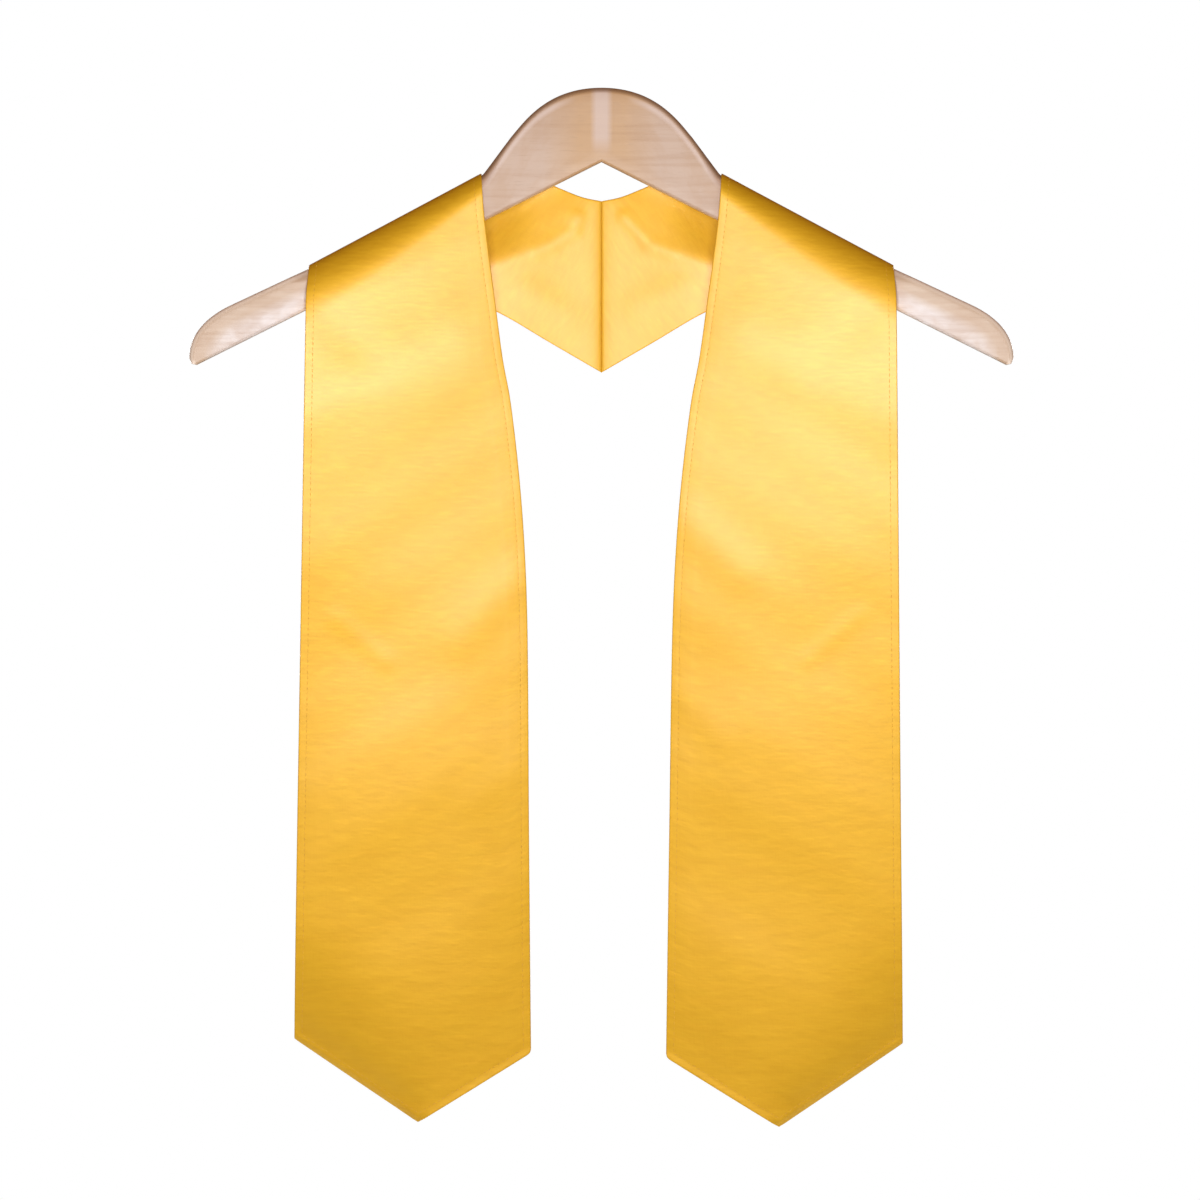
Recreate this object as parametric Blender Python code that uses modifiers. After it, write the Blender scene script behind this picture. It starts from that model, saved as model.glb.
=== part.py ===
"""Graduation stole of plain gold satin, hanging on a contoured wooden coat hanger.

Metres, +Z up. The stole's front faces -Y, so the wearer's left is at +X. The origin is the middle
of the hanger's top, where the hanger is held up. Each side of the stole is one panel, cut whole from
the point at its foot, over the shoulder, to the centre-back seam, in two layers: a face and a facing.
"""

import math
from collections import namedtuple

import bmesh
import bpy
from mathutils import Vector

# Cloth layers and the gaps between solids
WALL = 0.0010
LAYER_GAP = 0.0003
SEAM_GAP = 0.0005

# Hanger: two arms that slope down and sweep forward from a raised middle; points are (x, z) on its top
HANGER_THICKNESS = 0.014
HANGER_ROUND_UNDER_CLOTH = 0.0060
HANGER_ROUND_BARE = 0.0034
HANGER_ROUND_START = 0.052
HANGER_ROUND_END = 0.170
HANGER_ROUND_FADE = 0.010
HANGER_FOOT_ROUND = 0.0014
HUMP_HEIGHT = 0.040
HUMP_CROWN_HANDLE = 0.030
HUMP_FLANK_HANDLE = 0.010
HUMP_FLANK_SLOPE = math.radians(48.8)
HUMP_FLANK_START = Vector((0.0489, -0.0268))
NECK_CORNER = Vector((0.0644, -0.0475))
SHOULDER_POINT = Vector((0.1590, -0.0988))
ARM_END_START = Vector((0.2000, -0.1183))
ARM_TIP = Vector((0.2225, -0.1470))
ARM_TIP_CORNER = Vector((0.2212, -0.1500))
UNDERSIDE_SLOPE = math.radians(26.8)
SECTION_LEAN_NECK = 0.0098
SECTION_LEAN_ARM = 0.0090
SECTION_LEAN_TIP = 0.0024
SWEEP_BEND_WIDTH = 0.010
SWEEP_BEND = 0.05
SWEEP_CURVE = 0.20
HOOK_HOLE_RADIUS = 0.00175
HOOK_HOLE_DEPTH = 0.020

# Panel edges seen from the front: depth below the origin and distance from the centre line
Edge = namedtuple("Edge", "depth half_width")
OUTER_EDGE_TOP = Edge(0.1100, 0.1594)
OUTER_EDGE_FOOT = Edge(0.5160, 0.1646)
OUTER_EDGE_TURN = 0.0022
NECK_EDGE = (
    Edge(0.0400, 0.0655),
    Edge(0.0720, 0.0631),
    Edge(0.1220, 0.0566),
    Edge(0.1480, 0.0530),
    Edge(0.1700, 0.0489),
    Edge(0.2130, 0.0438),
    Edge(0.2560, 0.0406),
    Edge(0.3000, 0.0391),
    Edge(0.4000, 0.0380),
    Edge(0.5300, 0.0365),
)
FOOT_OUTER_DEPTH = 0.5160
FOOT_NECK_DEPTH = 0.5240
POINT = Edge(0.5615, 0.0973)
FOOT_CORNER_ROUND = 0.0014

# Yoke edges behind the hanger, from the top of the shoulder to the centre-back seam
Yoke = namedtuple("Yoke", "share half_width depth")
YOKE_NECK_EDGE = (
    Yoke(0.00, 0.0651, 0.0451),
    Yoke(0.05, 0.0650, 0.0477),
    Yoke(0.10, 0.0632, 0.0489),
    Yoke(0.32, 0.0490, 0.0474),
    Yoke(0.52, 0.0355, 0.0486),
    Yoke(0.70, 0.0225, 0.0540),
    Yoke(0.86, 0.0105, 0.0587),
    Yoke(1.00, 0.0000, 0.0609),
)
YOKE_OUTER_EDGE = (
    Yoke(0.00, 0.1572, 0.0958),
    Yoke(0.05, 0.1500, 0.0993),
    Yoke(0.14, 0.1370, 0.1030),
    Yoke(0.32, 0.1080, 0.1068),
    Yoke(0.50, 0.0800, 0.1125),
    Yoke(0.65, 0.0560, 0.1216),
    Yoke(0.82, 0.0285, 0.1375),
    Yoke(1.00, 0.0000, 0.1540),
)

# How the cloth goes over the arm: reach in front of and behind it, and depth of the bend, by side
Bend = namedtuple("Bend", "reach drop")
FRONT_BEND_NECK = Bend(0.0093, 0.010)
FRONT_BEND_OUTER = Bend(0.0122, 0.024)
YOKE_BEND_NECK = Bend(0.0090, 0.0058)
YOKE_BEND_OUTER = Bend(0.0095, 0.010)
BEND_POWER = 2.2
RISE_NECK = 0.0021
RISE_OUTER = 0.0028

# Drape: the strips bow across, lean back a little below the hanger, and the yoke stands off behind
CROWN_TOP = 0.0006
CROWN_FOOT = 0.0035
HANG_BACK = 0.0040
HANG_BACK_START = 0.035
HANG_BACK_LENGTH = 0.210
UNTWIST = 0.35
YOKE_BULGE = 0.0030
SEAM_PINCH = 0.0010
SEAM_PINCH_WIDTH = 0.006
YOKE_LEAN = 0.0036
YOKE_LEAN_HEIGHT = 0.026
YOKE_LEAN_WIDTH = 0.060
YOKE_LEAN_END = 0.078
YOKE_LEAN_FADE = 0.018
YOKE_LEAN_LEAST = 0.3

# Soft creases: a line from one point to another, seen from the front, with its width and rise
Crease = namedtuple("Crease", "x0 z0 x1 z1 width rise")
STRIP_CREASES = (
    Crease(0.158, -0.174, 0.080, -0.136, 0.024, 0.0008),
    Crease(0.176, -0.513, 0.128, -0.561, 0.034, -0.0049),
    Crease(0.061, -0.414, 0.118, -0.450, 0.034, -0.0007),
)

# Above this line, from the seam out to the strips, the yoke leans back towards the hanger
Turn = namedtuple("Turn", "half_width height")
YOKE_LEAN_LINE = (
    Turn(0.0000, -0.0640),
    Turn(0.0130, -0.0710),
    Turn(0.0270, -0.0850),
    Turn(0.0400, -0.0893),
    Turn(0.0700, -0.0990),
)

# Each side: its name, which way it lies, and how much lower than the other its foot hangs
Side = namedtuple("Side", "name way extra_drop")
SIDES = (Side("left", 1, 0.0014), Side("right", -1, -0.0012))
FOOT_SWAY = -0.0016

# Grid of a panel: columns on either side of the point, and rows in each stretch from foot to seam;
# a crowding above 1 draws a stretch's rows towards its end
COLUMNS_EACH_WAY = 5
Stretch = namedtuple("Stretch", "path start end rows crowding")
STRETCHES = (
    Stretch("strip", 1.000, 0.065, 20, 0.90),
    Stretch("strip", 0.065, 0.000, 7, 1.70),
    Stretch("yoke", 0.000, 0.100, 5, 0.70),
    Stretch("yoke", 0.100, 0.985, 10, 1.15),
    Stretch("yoke", 0.985, 1.000, 1, 1.00),
)

Finish = namedtuple("Finish", "colour roughness sheen")
SATIN = Finish((0.88, 0.48, 0.02), 0.38, 0.4)
FACING_SATIN = Finish((0.88, 0.50, 0.03), 0.42, 0.4)
BEECH = Finish((0.53, 0.33, 0.21), 0.35, 0.0)


def clear_scene():
    for obj in list(bpy.data.objects):
        bpy.data.objects.remove(obj, do_unlink=True)


def collection(name):
    made = bpy.data.collections.new(name)
    bpy.context.scene.collection.children.link(made)
    return made


def material(name, finish):
    made = bpy.data.materials.new(name)
    made.use_nodes = True
    shader = made.node_tree.nodes["Principled BSDF"]
    shader.inputs["Base Color"].default_value = (*finish.colour, 1.0)
    shader.inputs["Roughness"].default_value = finish.roughness
    shader.inputs["Metallic"].default_value = 0.0
    shader.inputs["Sheen Weight"].default_value = finish.sheen
    return made


def mix(a, b, share):
    return a + (b - a) * share


def smooth_step(share):
    share = max(0.0, min(1.0, share))
    return share * share * (3.0 - 2.0 * share)


def read_table(rows, key, column, at):
    """A column of a table at a value of its key, on a smooth curve through the rows."""
    keys = [getattr(row, key) for row in rows]
    values = [getattr(row, column) for row in rows]
    last = len(rows) - 1
    index = 0
    while index < last - 1 and at > keys[index + 1]:
        index += 1
    slopes = []
    for here in (index, index + 1):
        before, after = max(here - 1, 0), min(here + 1, last)
        slopes.append((values[after] - values[before]) / (keys[after] - keys[before]))
    span = keys[index + 1] - keys[index]
    share = max(0.0, min(1.0, (at - keys[index]) / span))
    square, cube = share * share, share * share * share
    return (
        (2 * cube - 3 * square + 1) * values[index]
        + (cube - 2 * square + share) * span * slopes[0]
        + (3 * square - 2 * cube) * values[index + 1]
        + (cube - square) * span * slopes[1]
    )


def forward_sweep(x):
    """How far behind the origin the hanger's middle plane lies; the arms sweep forward, so it is negative."""
    bend = math.hypot(x, SWEEP_BEND_WIDTH) - SWEEP_BEND_WIDTH
    return -(SWEEP_BEND * bend + SWEEP_CURVE * x * x)


# The hanger


def bezier(points, share):
    a, b, c, d = points
    rest = 1.0 - share
    return a * rest**3 + b * 3 * rest**2 * share + c * 3 * rest * share**2 + d * share**3


def hanger_top_line():
    """Points along the hanger's top, from its middle to the corner of its tip."""
    flank_way = Vector((math.cos(HUMP_FLANK_SLOPE), -math.sin(HUMP_FLANK_SLOPE)))
    crown = (
        Vector((0.0, 0.0)),
        Vector((HUMP_CROWN_HANDLE, 0.0)),
        HUMP_FLANK_START - flank_way * HUMP_FLANK_HANDLE,
        HUMP_FLANK_START,
    )
    line = [bezier(crown, step / 8) for step in range(9)]
    flank_end = NECK_CORNER.lerp(HUMP_FLANK_START, 0.14)
    arm_start = NECK_CORNER.lerp(SHOULDER_POINT, 0.03)
    line.append(HUMP_FLANK_START.lerp(flank_end, 0.5))
    fillet = (flank_end, NECK_CORNER, NECK_CORNER, arm_start)
    line += [bezier(fillet, step / 3) for step in range(4)]
    line += [arm_start.lerp(SHOULDER_POINT, step / 6) for step in range(1, 7)]
    line += [SHOULDER_POINT.lerp(ARM_END_START, step / 3) for step in range(1, 4)]
    arm_way = (ARM_END_START - SHOULDER_POINT).normalized()
    tip_way = Vector((0.0, -1.0))
    end = (
        ARM_END_START,
        ARM_END_START + arm_way * 0.013,
        ARM_TIP - tip_way * 0.014,
        ARM_TIP,
    )
    line += [bezier(end, step / 7) for step in range(1, 8)]
    line.append(ARM_TIP_CORNER)
    return line


def underside_of(top_line):
    """For each point of the top line, the point of the underside that its section ends at."""
    neck_foot = NECK_CORNER.x - SECTION_LEAN_NECK
    arm_foot = ARM_END_START.x - SECTION_LEAN_ARM
    tip_foot = ARM_TIP_CORNER.x - SECTION_LEAN_TIP
    found = []
    for point in top_line:
        if point.x <= NECK_CORNER.x:
            x = neck_foot * point.x / NECK_CORNER.x
        elif point.x <= ARM_END_START.x:
            share = (point.x - NECK_CORNER.x) / (ARM_END_START.x - NECK_CORNER.x)
            x = mix(neck_foot, arm_foot, share)
        else:
            share = (ARM_END_START.y - point.y) / (ARM_END_START.y - ARM_TIP_CORNER.y)
            x = mix(arm_foot, tip_foot, share)
        found.append(Vector((x, -HUMP_HEIGHT - x * math.tan(UNDERSIDE_SLOPE))))
    return found


def hanger_top_round(x):
    """Radius of the top edges, which are rounder where cloth lies over them."""
    under = smooth_step((x - HANGER_ROUND_START) / HANGER_ROUND_FADE)
    under *= smooth_step((HANGER_ROUND_END - x) / HANGER_ROUND_FADE)
    return mix(HANGER_ROUND_BARE, HANGER_ROUND_UNDER_CLOTH, under)


def hanger_section(height, top_round):
    """One section of the hanger: distances down from its top and depths, round a rectangle with round corners."""
    top_round = min(top_round, 0.45 * height)
    foot_round = min(HANGER_FOOT_ROUND, 0.45 * height)
    half = HANGER_THICKNESS / 2
    ring = []
    corners = (
        (top_round, -half + top_round, top_round, 180, 5),
        (height - foot_round, -half + foot_round, foot_round, 270, 4),
        (height - foot_round, half - foot_round, foot_round, 0, 4),
        (top_round, half - top_round, top_round, 90, 5),
    )
    for down, depth, radius, start, count in corners:
        for step in range(count):
            # the angle runs from straight up, through the front, to straight down and back behind
            angle = math.radians(start + 90 * step / (count - 1))
            ring.append((down + radius * math.cos(angle), depth + radius * math.sin(angle)))
    return ring


def make_hanger(parts, cutters):
    mesh = bmesh.new()
    top_line = hanger_top_line()
    rings = []
    for top, foot in zip(top_line, underside_of(top_line)):
        down_way = (foot - top).normalized()
        ring = []
        for down, depth in hanger_section((foot - top).length, hanger_top_round(top.x)):
            at = top + down_way * down
            ring.append(mesh.verts.new((at.x, forward_sweep(at.x) + depth, at.y)))
        rings.append(ring)
    for first, second in zip(rings, rings[1:]):
        for index in range(len(first)):
            after = (index + 1) % len(first)
            mesh.faces.new((first[index], first[after], second[after], second[index]))
    mesh.faces.new(rings[-1])
    bmesh.ops.recalc_face_normals(mesh, faces=mesh.faces)
    data = bpy.data.meshes.new("hanger")
    mesh.to_mesh(data)
    mesh.free()
    hanger = bpy.data.objects.new("hanger", data)
    parts.objects.link(hanger)
    mirror = hanger.modifiers.new("both arms", "MIRROR")
    mirror.merge_threshold = 0.0001
    hole = hanger.modifiers.new("hook hole", "BOOLEAN")
    hole.operation = "DIFFERENCE"
    hole.solver = "EXACT"
    hole.object = make_hook_drill(cutters)
    data.materials.append(material("beech", BEECH))
    data.shade_smooth()
    data.set_sharp_from_angle(angle=math.radians(50))
    return hanger


def make_hook_drill(cutters):
    above = 0.004
    bpy.ops.mesh.primitive_cylinder_add(
        vertices=12,
        radius=HOOK_HOLE_RADIUS,
        depth=HOOK_HOLE_DEPTH + above,
        location=(0.0, 0.0, (above - HOOK_HOLE_DEPTH) / 2),
    )
    drill = bpy.context.object
    drill.name = "hook_drill"
    drill.hide_render = True
    drill.display_type = "WIRE"
    for holder in list(drill.users_collection):
        holder.objects.unlink(drill)
    cutters.objects.link(drill)
    return drill


# The stole


def crease_rise(creases, x, z):
    """How far the creases lift the cloth at a point, each fading out sideways and beyond its ends."""
    rise = 0.0
    for crease in creases:
        start, end = Vector((crease.x0, crease.z0)), Vector((crease.x1, crease.z1))
        along = end - start
        share = max(0.0, min(1.0, (Vector((x, z)) - start).dot(along) / along.length_squared))
        away = (Vector((x, z)) - start - along * share).length
        rise += crease.rise * math.exp(-((away / crease.width) ** 2))
    return rise


def fold_slope():
    way = SHOULDER_POINT - NECK_CORNER
    return math.atan2(-way.y, way.x)


def fold_height(x):
    """Height of the crest where the cloth goes over the arm, at the middle of its thickness."""
    share = (x - NECK_CORNER.x) / (SHOULDER_POINT.x - NECK_CORNER.x)
    arm_top = mix(NECK_CORNER.y, SHOULDER_POINT.y, share)
    rise = mix(RISE_NECK, RISE_OUTER, max(0.0, min(1.0, share)))
    return arm_top + rise / math.cos(fold_slope())


def bend_profile(below, bend):
    """Share of the bend's reach at a distance below the crest, on a superellipse."""
    rest = max(0.0, min(1.0, 1.0 - below / bend.drop))
    return (1.0 - rest**BEND_POWER) ** (1.0 / BEND_POWER)


def bend_between(outer, neck, across):
    return Bend(mix(outer.reach, neck.reach, across), mix(outer.drop, neck.drop, across))


def outer_edge_at(depth):
    share = (depth - OUTER_EDGE_TOP.depth) / (OUTER_EDGE_FOOT.depth - OUTER_EDGE_TOP.depth)
    straight = mix(OUTER_EDGE_TOP.half_width, OUTER_EDGE_FOOT.half_width, share)
    return straight - OUTER_EDGE_TURN * smooth_step((0.116 - depth) / 0.020)


def strip_half_width(across, depth):
    """Distance from the centre line of the point this far across the strip, from 0 outside to 1 at the neck."""
    return mix(outer_edge_at(depth), read_table(NECK_EDGE, "depth", "half_width", depth), across)


def point_share():
    wide = OUTER_EDGE_FOOT.half_width - NECK_EDGE[-1].half_width
    return (OUTER_EDGE_FOOT.half_width - POINT.half_width) / wide


def foot_depth(across):
    if across <= point_share():
        return mix(FOOT_OUTER_DEPTH, POINT.depth, across / point_share())
    return mix(POINT.depth, FOOT_NECK_DEPTH, (across - point_share()) / (1.0 - point_share()))


def crest_depth(across):
    depth = 0.08
    for _ in range(6):
        depth = -fold_height(strip_half_width(across, depth))
    return depth


def strip_point(side, across, down):
    """Middle of the cloth's thickness on the strip, from the crest (down 0) to the foot (down 1)."""
    crest = crest_depth(across)
    depth = mix(crest, foot_depth(across), down)
    x = strip_half_width(across, depth)
    bend = bend_between(FRONT_BEND_OUTER, FRONT_BEND_NECK, across)
    below = (fold_height(x) + depth) * math.cos(fold_slope())
    below_arm = depth - HUMP_HEIGHT - x * math.tan(UNDERSIDE_SLOPE)
    hang = smooth_step((below_arm - HANG_BACK_START) / HANG_BACK_LENGTH)
    fall = smooth_step(depth / POINT.depth)
    y = forward_sweep(x) - bend.reach * bend_profile(below, bend)
    y += HANG_BACK * hang
    middle = mix(NECK_EDGE[-1].half_width, OUTER_EDGE_FOOT.half_width, 0.5)
    y += UNTWIST * fall * (forward_sweep(middle) - forward_sweep(x))
    bow = 1.0 - (2.0 * across - 1.0) ** 2
    lift = mix(CROWN_TOP, CROWN_FOOT, fall) * bow + crease_rise(STRIP_CREASES, x, -depth)
    y -= lift * smooth_step(below / FRONT_BEND_OUTER.drop)
    sway = FOOT_SWAY * fall * side.way
    return Vector((x + sway, y, -depth - side.extra_drop * fall))


def yoke_point(across, back):
    """The same on the yoke, from the crest (back 0) to the centre-back seam (back 1)."""
    x = mix(
        read_table(YOKE_OUTER_EDGE, "share", "half_width", back),
        read_table(YOKE_NECK_EDGE, "share", "half_width", back),
        across,
    )
    depth = mix(
        read_table(YOKE_OUTER_EDGE, "share", "depth", back),
        read_table(YOKE_NECK_EDGE, "share", "depth", back),
        across,
    )
    # at the crest the rows of the strip and of the yoke are the same points
    crest = crest_depth(across)
    start = Vector((strip_half_width(across, crest), -crest))
    tied = Vector((x, -depth)) + (start - yoke_crest(across)) * (1.0 - smooth_step(back / 0.12))
    x, depth = max(tied.x, SEAM_GAP / 2), -tied.y
    bend = bend_between(YOKE_BEND_OUTER, YOKE_BEND_NECK, across)
    below = max(0.0, fold_height(x) + depth) * math.cos(fold_slope())
    y = forward_sweep(x) + bend.reach * bend_profile(below, bend)
    inward = max(0.0, 1.0 - x / NECK_CORNER.x)
    y += YOKE_BULGE * smooth_step(inward)
    y += SEAM_PINCH * math.exp(-((x / SEAM_PINCH_WIDTH) ** 2))
    y += yoke_lean(x, -depth)
    return Vector((x, y, -depth))


def yoke_lean(x, z):
    """How far back the yoke leans at a point above its turning line."""
    above = z - read_table(YOKE_LEAN_LINE, "half_width", "height", x)
    most = YOKE_LEAN * mix(YOKE_LEAN_LEAST, 1.0, smooth_step(x / YOKE_LEAN_WIDTH))
    fade = smooth_step((YOKE_LEAN_END - x) / YOKE_LEAN_FADE)
    return most * fade * smooth_step(above / YOKE_LEAN_HEIGHT)


def yoke_crest(across):
    outer, neck = YOKE_OUTER_EDGE[0], YOKE_NECK_EDGE[0]
    return Vector((mix(outer.half_width, neck.half_width, across), -mix(outer.depth, neck.depth, across)))


def panel_columns():
    """Shares of the way across a panel, from its outer edge to its neck edge, with one at the point."""
    share = point_share()
    outer = [share * step / COLUMNS_EACH_WAY for step in range(COLUMNS_EACH_WAY)]
    return outer + [mix(share, 1.0, step / COLUMNS_EACH_WAY) for step in range(COLUMNS_EACH_WAY + 1)]


def panel_rows():
    """The rows of a panel, each with its path and the share of it, from the foot to the seam."""
    rows = []
    for stretch in STRETCHES:
        first = 1 if rows else 0
        for step in range(first, stretch.rows + 1):
            share = 1.0 - (1.0 - step / stretch.rows) ** stretch.crowding
            rows.append((stretch.path, mix(stretch.start, stretch.end, share)))
    return rows


def panel_point(side, path, share, across):
    if path == "strip":
        at = strip_point(side, across, share)
    else:
        at = yoke_point(across, share)
    return Vector((at.x * side.way, at.y, at.z))


def blunt_foot_corners(verts, columns):
    """Draw the two outer corners of the foot in, so that they are slightly blunt."""
    for corner, inner in ((0, 1), (columns - 1, columns - 2)):
        at = verts[corner].co
        in_way = (verts[inner].co - at).normalized()
        up_way = (verts[corner + columns].co - at).normalized()
        verts[corner].co = at + (in_way + up_way) * FOOT_CORNER_ROUND


def make_panel_mesh(side):
    """A flat grid laid along the middle of the panel's thickness, with its face to the outside."""
    columns, rows = panel_columns(), panel_rows()
    mesh = bmesh.new()
    bmesh.ops.create_grid(mesh, x_segments=len(columns) - 1, y_segments=len(rows) - 1, size=1.0)
    mesh.verts.ensure_lookup_table()
    for index, vert in enumerate(mesh.verts):
        row, column = divmod(index, len(columns))
        path, share = rows[row]
        vert.co = panel_point(side, path, share, columns[column])
    blunt_foot_corners(mesh.verts, len(columns))
    if side.way > 0:
        bmesh.ops.reverse_faces(mesh, faces=mesh.faces)
    mesh.normal_update()
    data = bpy.data.meshes.new(side.name + "_panel")
    mesh.to_mesh(data)
    mesh.free()
    return data


def make_layer(parts, name, panel, outward, finish):
    """One layer of a panel: its inner side lies half a gap from the middle, and its wall grows outward."""
    data = panel.copy()
    data.name = name
    layer = bpy.data.objects.new(name, data)
    parts.objects.link(layer)
    part_way = layer.modifiers.new("half of the gap", "DISPLACE")
    part_way.strength = LAYER_GAP / 2 * outward
    part_way.mid_level = 0.0
    wall = layer.modifiers.new("wall", "SOLIDIFY")
    wall.thickness = WALL
    wall.offset = outward
    wall.use_even_offset = True
    data.materials.append(finish)
    data.shade_smooth()
    data.set_sharp_from_angle(angle=math.radians(50))
    return layer


def main():
    clear_scene()
    parts = collection("graduation_stole")
    cutters = collection("cutters")
    make_hanger(parts, cutters)
    face_satin = material("satin", SATIN)
    facing_satin = material("facing_satin", FACING_SATIN)
    for side in SIDES:
        panel = make_panel_mesh(side)
        make_layer(parts, side.name + "_face", panel, 1, face_satin)
        make_layer(parts, side.name + "_facing", panel, -1, facing_satin)
        bpy.data.meshes.remove(panel)


main()
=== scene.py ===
import math
from collections import namedtuple

import bmesh
import bpy
import numpy as np
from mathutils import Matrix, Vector


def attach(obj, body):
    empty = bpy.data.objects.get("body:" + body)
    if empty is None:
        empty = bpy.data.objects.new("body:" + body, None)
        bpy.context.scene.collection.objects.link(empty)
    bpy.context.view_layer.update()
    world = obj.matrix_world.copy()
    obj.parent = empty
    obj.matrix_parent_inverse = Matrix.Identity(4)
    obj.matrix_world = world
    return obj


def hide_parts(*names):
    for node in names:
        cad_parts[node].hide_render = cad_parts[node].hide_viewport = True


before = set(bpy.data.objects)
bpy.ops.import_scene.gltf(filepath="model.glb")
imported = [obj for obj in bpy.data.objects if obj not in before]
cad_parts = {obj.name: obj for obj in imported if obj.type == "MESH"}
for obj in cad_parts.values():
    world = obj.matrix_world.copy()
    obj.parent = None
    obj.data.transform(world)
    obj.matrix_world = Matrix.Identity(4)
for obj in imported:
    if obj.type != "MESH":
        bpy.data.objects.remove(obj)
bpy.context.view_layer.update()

# Form of the hanger and of the cloth's middle surface, as in the construction, in metres
HANGER_THICKNESS = 0.014
HANGER_ROUND_UNDER_CLOTH = 0.0060
HANGER_ROUND_BARE = 0.0034
HANGER_ROUND_START, HANGER_ROUND_END, HANGER_ROUND_FADE = 0.052, 0.170, 0.010
HANGER_FOOT_ROUND = 0.0014
HANGER_SANDING = 0.00012
HOOK_HOLE_RADIUS, HOOK_HOLE_DEPTH, DRILL_ABOVE = 0.00175, 0.020, 0.004
HUMP_HEIGHT = 0.040
HUMP_CROWN_HANDLE = 0.030
HUMP_FLANK_HANDLE = 0.010
HUMP_FLANK_SLOPE = math.radians(48.8)
HUMP_FLANK_START = Vector((0.0489, -0.0268))
NECK_CORNER = Vector((0.0644, -0.0475))
SHOULDER_POINT = Vector((0.1590, -0.0988))
ARM_END_START = Vector((0.2000, -0.1183))
ARM_TIP = Vector((0.2225, -0.1470))
ARM_TIP_CORNER = Vector((0.2212, -0.1500))
ARM_END_HANDLE, ARM_TIP_HANDLE = 0.013, 0.014
NECK_FILLET_ON_FLANK, NECK_FILLET_ON_ARM = 0.14, 0.03
UNDERSIDE_SLOPE = math.radians(26.8)
SECTION_LEAN_NECK = 0.0098
SECTION_LEAN_ARM = 0.0090
SECTION_LEAN_TIP = 0.0024
SWEEP_BEND_WIDTH = 0.010
SWEEP_BEND = 0.05
SWEEP_CURVE = 0.20

# Panel edges seen from the front: depth below the origin, distance from the centre line
OUTER_TOP_DEPTH, OUTER_TOP_HALF = 0.1100, 0.1594
OUTER_FOOT_DEPTH, OUTER_FOOT_HALF = 0.5160, 0.1646
OUTER_EDGE_TURN, OUTER_EDGE_TURN_END, OUTER_EDGE_TURN_LENGTH = 0.0012, 0.116, 0.020
NECK_EDGE = np.array((
    (0.0400, 0.0655), (0.0720, 0.0631), (0.1220, 0.0566), (0.1480, 0.0530), (0.1700, 0.0489),
    (0.2130, 0.0438), (0.2560, 0.0406), (0.3000, 0.0391), (0.4000, 0.0380), (0.5300, 0.0365),
))
FOOT_NECK_DEPTH, FOOT_NECK_HALF = 0.5240, 0.0365
POINT_DEPTH, POINT_HALF = 0.5615, 0.0973
FOOT_SLOPE_OUTER, FOOT_SLOPE_NECK = math.radians(34.1), math.radians(31.7)

# Yoke edges behind the hanger: share of the way to the seam, distance from the centre line, depth
YOKE_NECK_EDGE = np.array((
    (0.00, 0.0651, 0.0451), (0.05, 0.0650, 0.0477), (0.10, 0.0632, 0.0489), (0.32, 0.0490, 0.0474),
    (0.52, 0.0355, 0.0486), (0.70, 0.0225, 0.0540), (0.86, 0.0105, 0.0587), (1.00, 0.0000, 0.0609),
))
YOKE_OUTER_EDGE = np.array((
    (0.00, 0.1572, 0.0958), (0.05, 0.1500, 0.0993), (0.14, 0.1370, 0.1030), (0.32, 0.1080, 0.1068),
    (0.50, 0.0800, 0.1125), (0.65, 0.0560, 0.1216), (0.82, 0.0285, 0.1375), (1.00, 0.0000, 0.1540),
))

# The yoke's width square to its edges, as a share of the distance between points at one share of the way
YOKE_WIDTH_SHARE = 0.93

# How the cloth goes over the arm, at the outer and at the neck edge. It is thinner than the solids,
# so it lies closer to the wood.
FRONT_REACH = (0.0124, 0.0093)
FRONT_DROP = (0.029, 0.0112)
YOKE_REACH = (0.0090, 0.0086)
YOKE_DROP = (0.010, 0.0058)
RISE = (0.0012, 0.0009)
BEND_POWER = 2.2
# Share of the yoke next to the arm, over which its edges are drawn to the strip's
YOKE_TIE = 0.12

# How the strips hang below the arm, and the yoke behind it
CROWN_TOP, CROWN_FOOT = 0.0006, 0.0035
HANG_BACK, HANG_BACK_START, HANG_BACK_LENGTH = 0.0040, 0.035, 0.210
FOOT_BACK, FOOT_BACK_START, FOOT_BACK_LENGTH, FOOT_BACK_POWER = 0.0020, 0.38, 0.18, 1.5
EXTRA_DROP_START, EXTRA_DROP_LENGTH = 0.12, 0.44
UNTWIST = 0.35
FOOT_SWAY = -0.0016
RIPPLE_LOW, RIPPLE_MID, RIPPLE_FINE = 0.00055, 0.00022, 0.00006
RIPPLE_START, RIPPLE_FADE = 0.11, 0.06
YOKE_BULGE = 0.0030
SEAM_PINCH = 0.0011
SEAM_OVERLAP = 0.00004

# The cloth itself. A layer's skin lies a gap and a share of the cloth off the middle surface at a sewn
# edge, and half a body more away from it. The seam allowance shows as a faint rise beside the edge.
CLOTH = 0.00035
LAYER_GAP = 0.00006
EDGE_SHARE = 0.4
HALF_BODY = 0.00023
EDGE_ROUND = 0.0006
SEAM_ROUND = 0.0011
ALLOWANCE_RISE, ALLOWANCE_WANDER = 0.000024, 0.35
ALLOWANCE_START, ALLOWANCE_WIDTH = 0.0006, 0.0105
ALLOWANCE_FADE_IN, ALLOWANCE_FADE_OUT = 0.0016, 0.0022
# How far from each corner of the foot its rounding starts
CORNER_TANGENT_OUTER, CORNER_TANGENT_NECK, POINT_TANGENT = 0.0012, 0.0026, 0.0012

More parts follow.
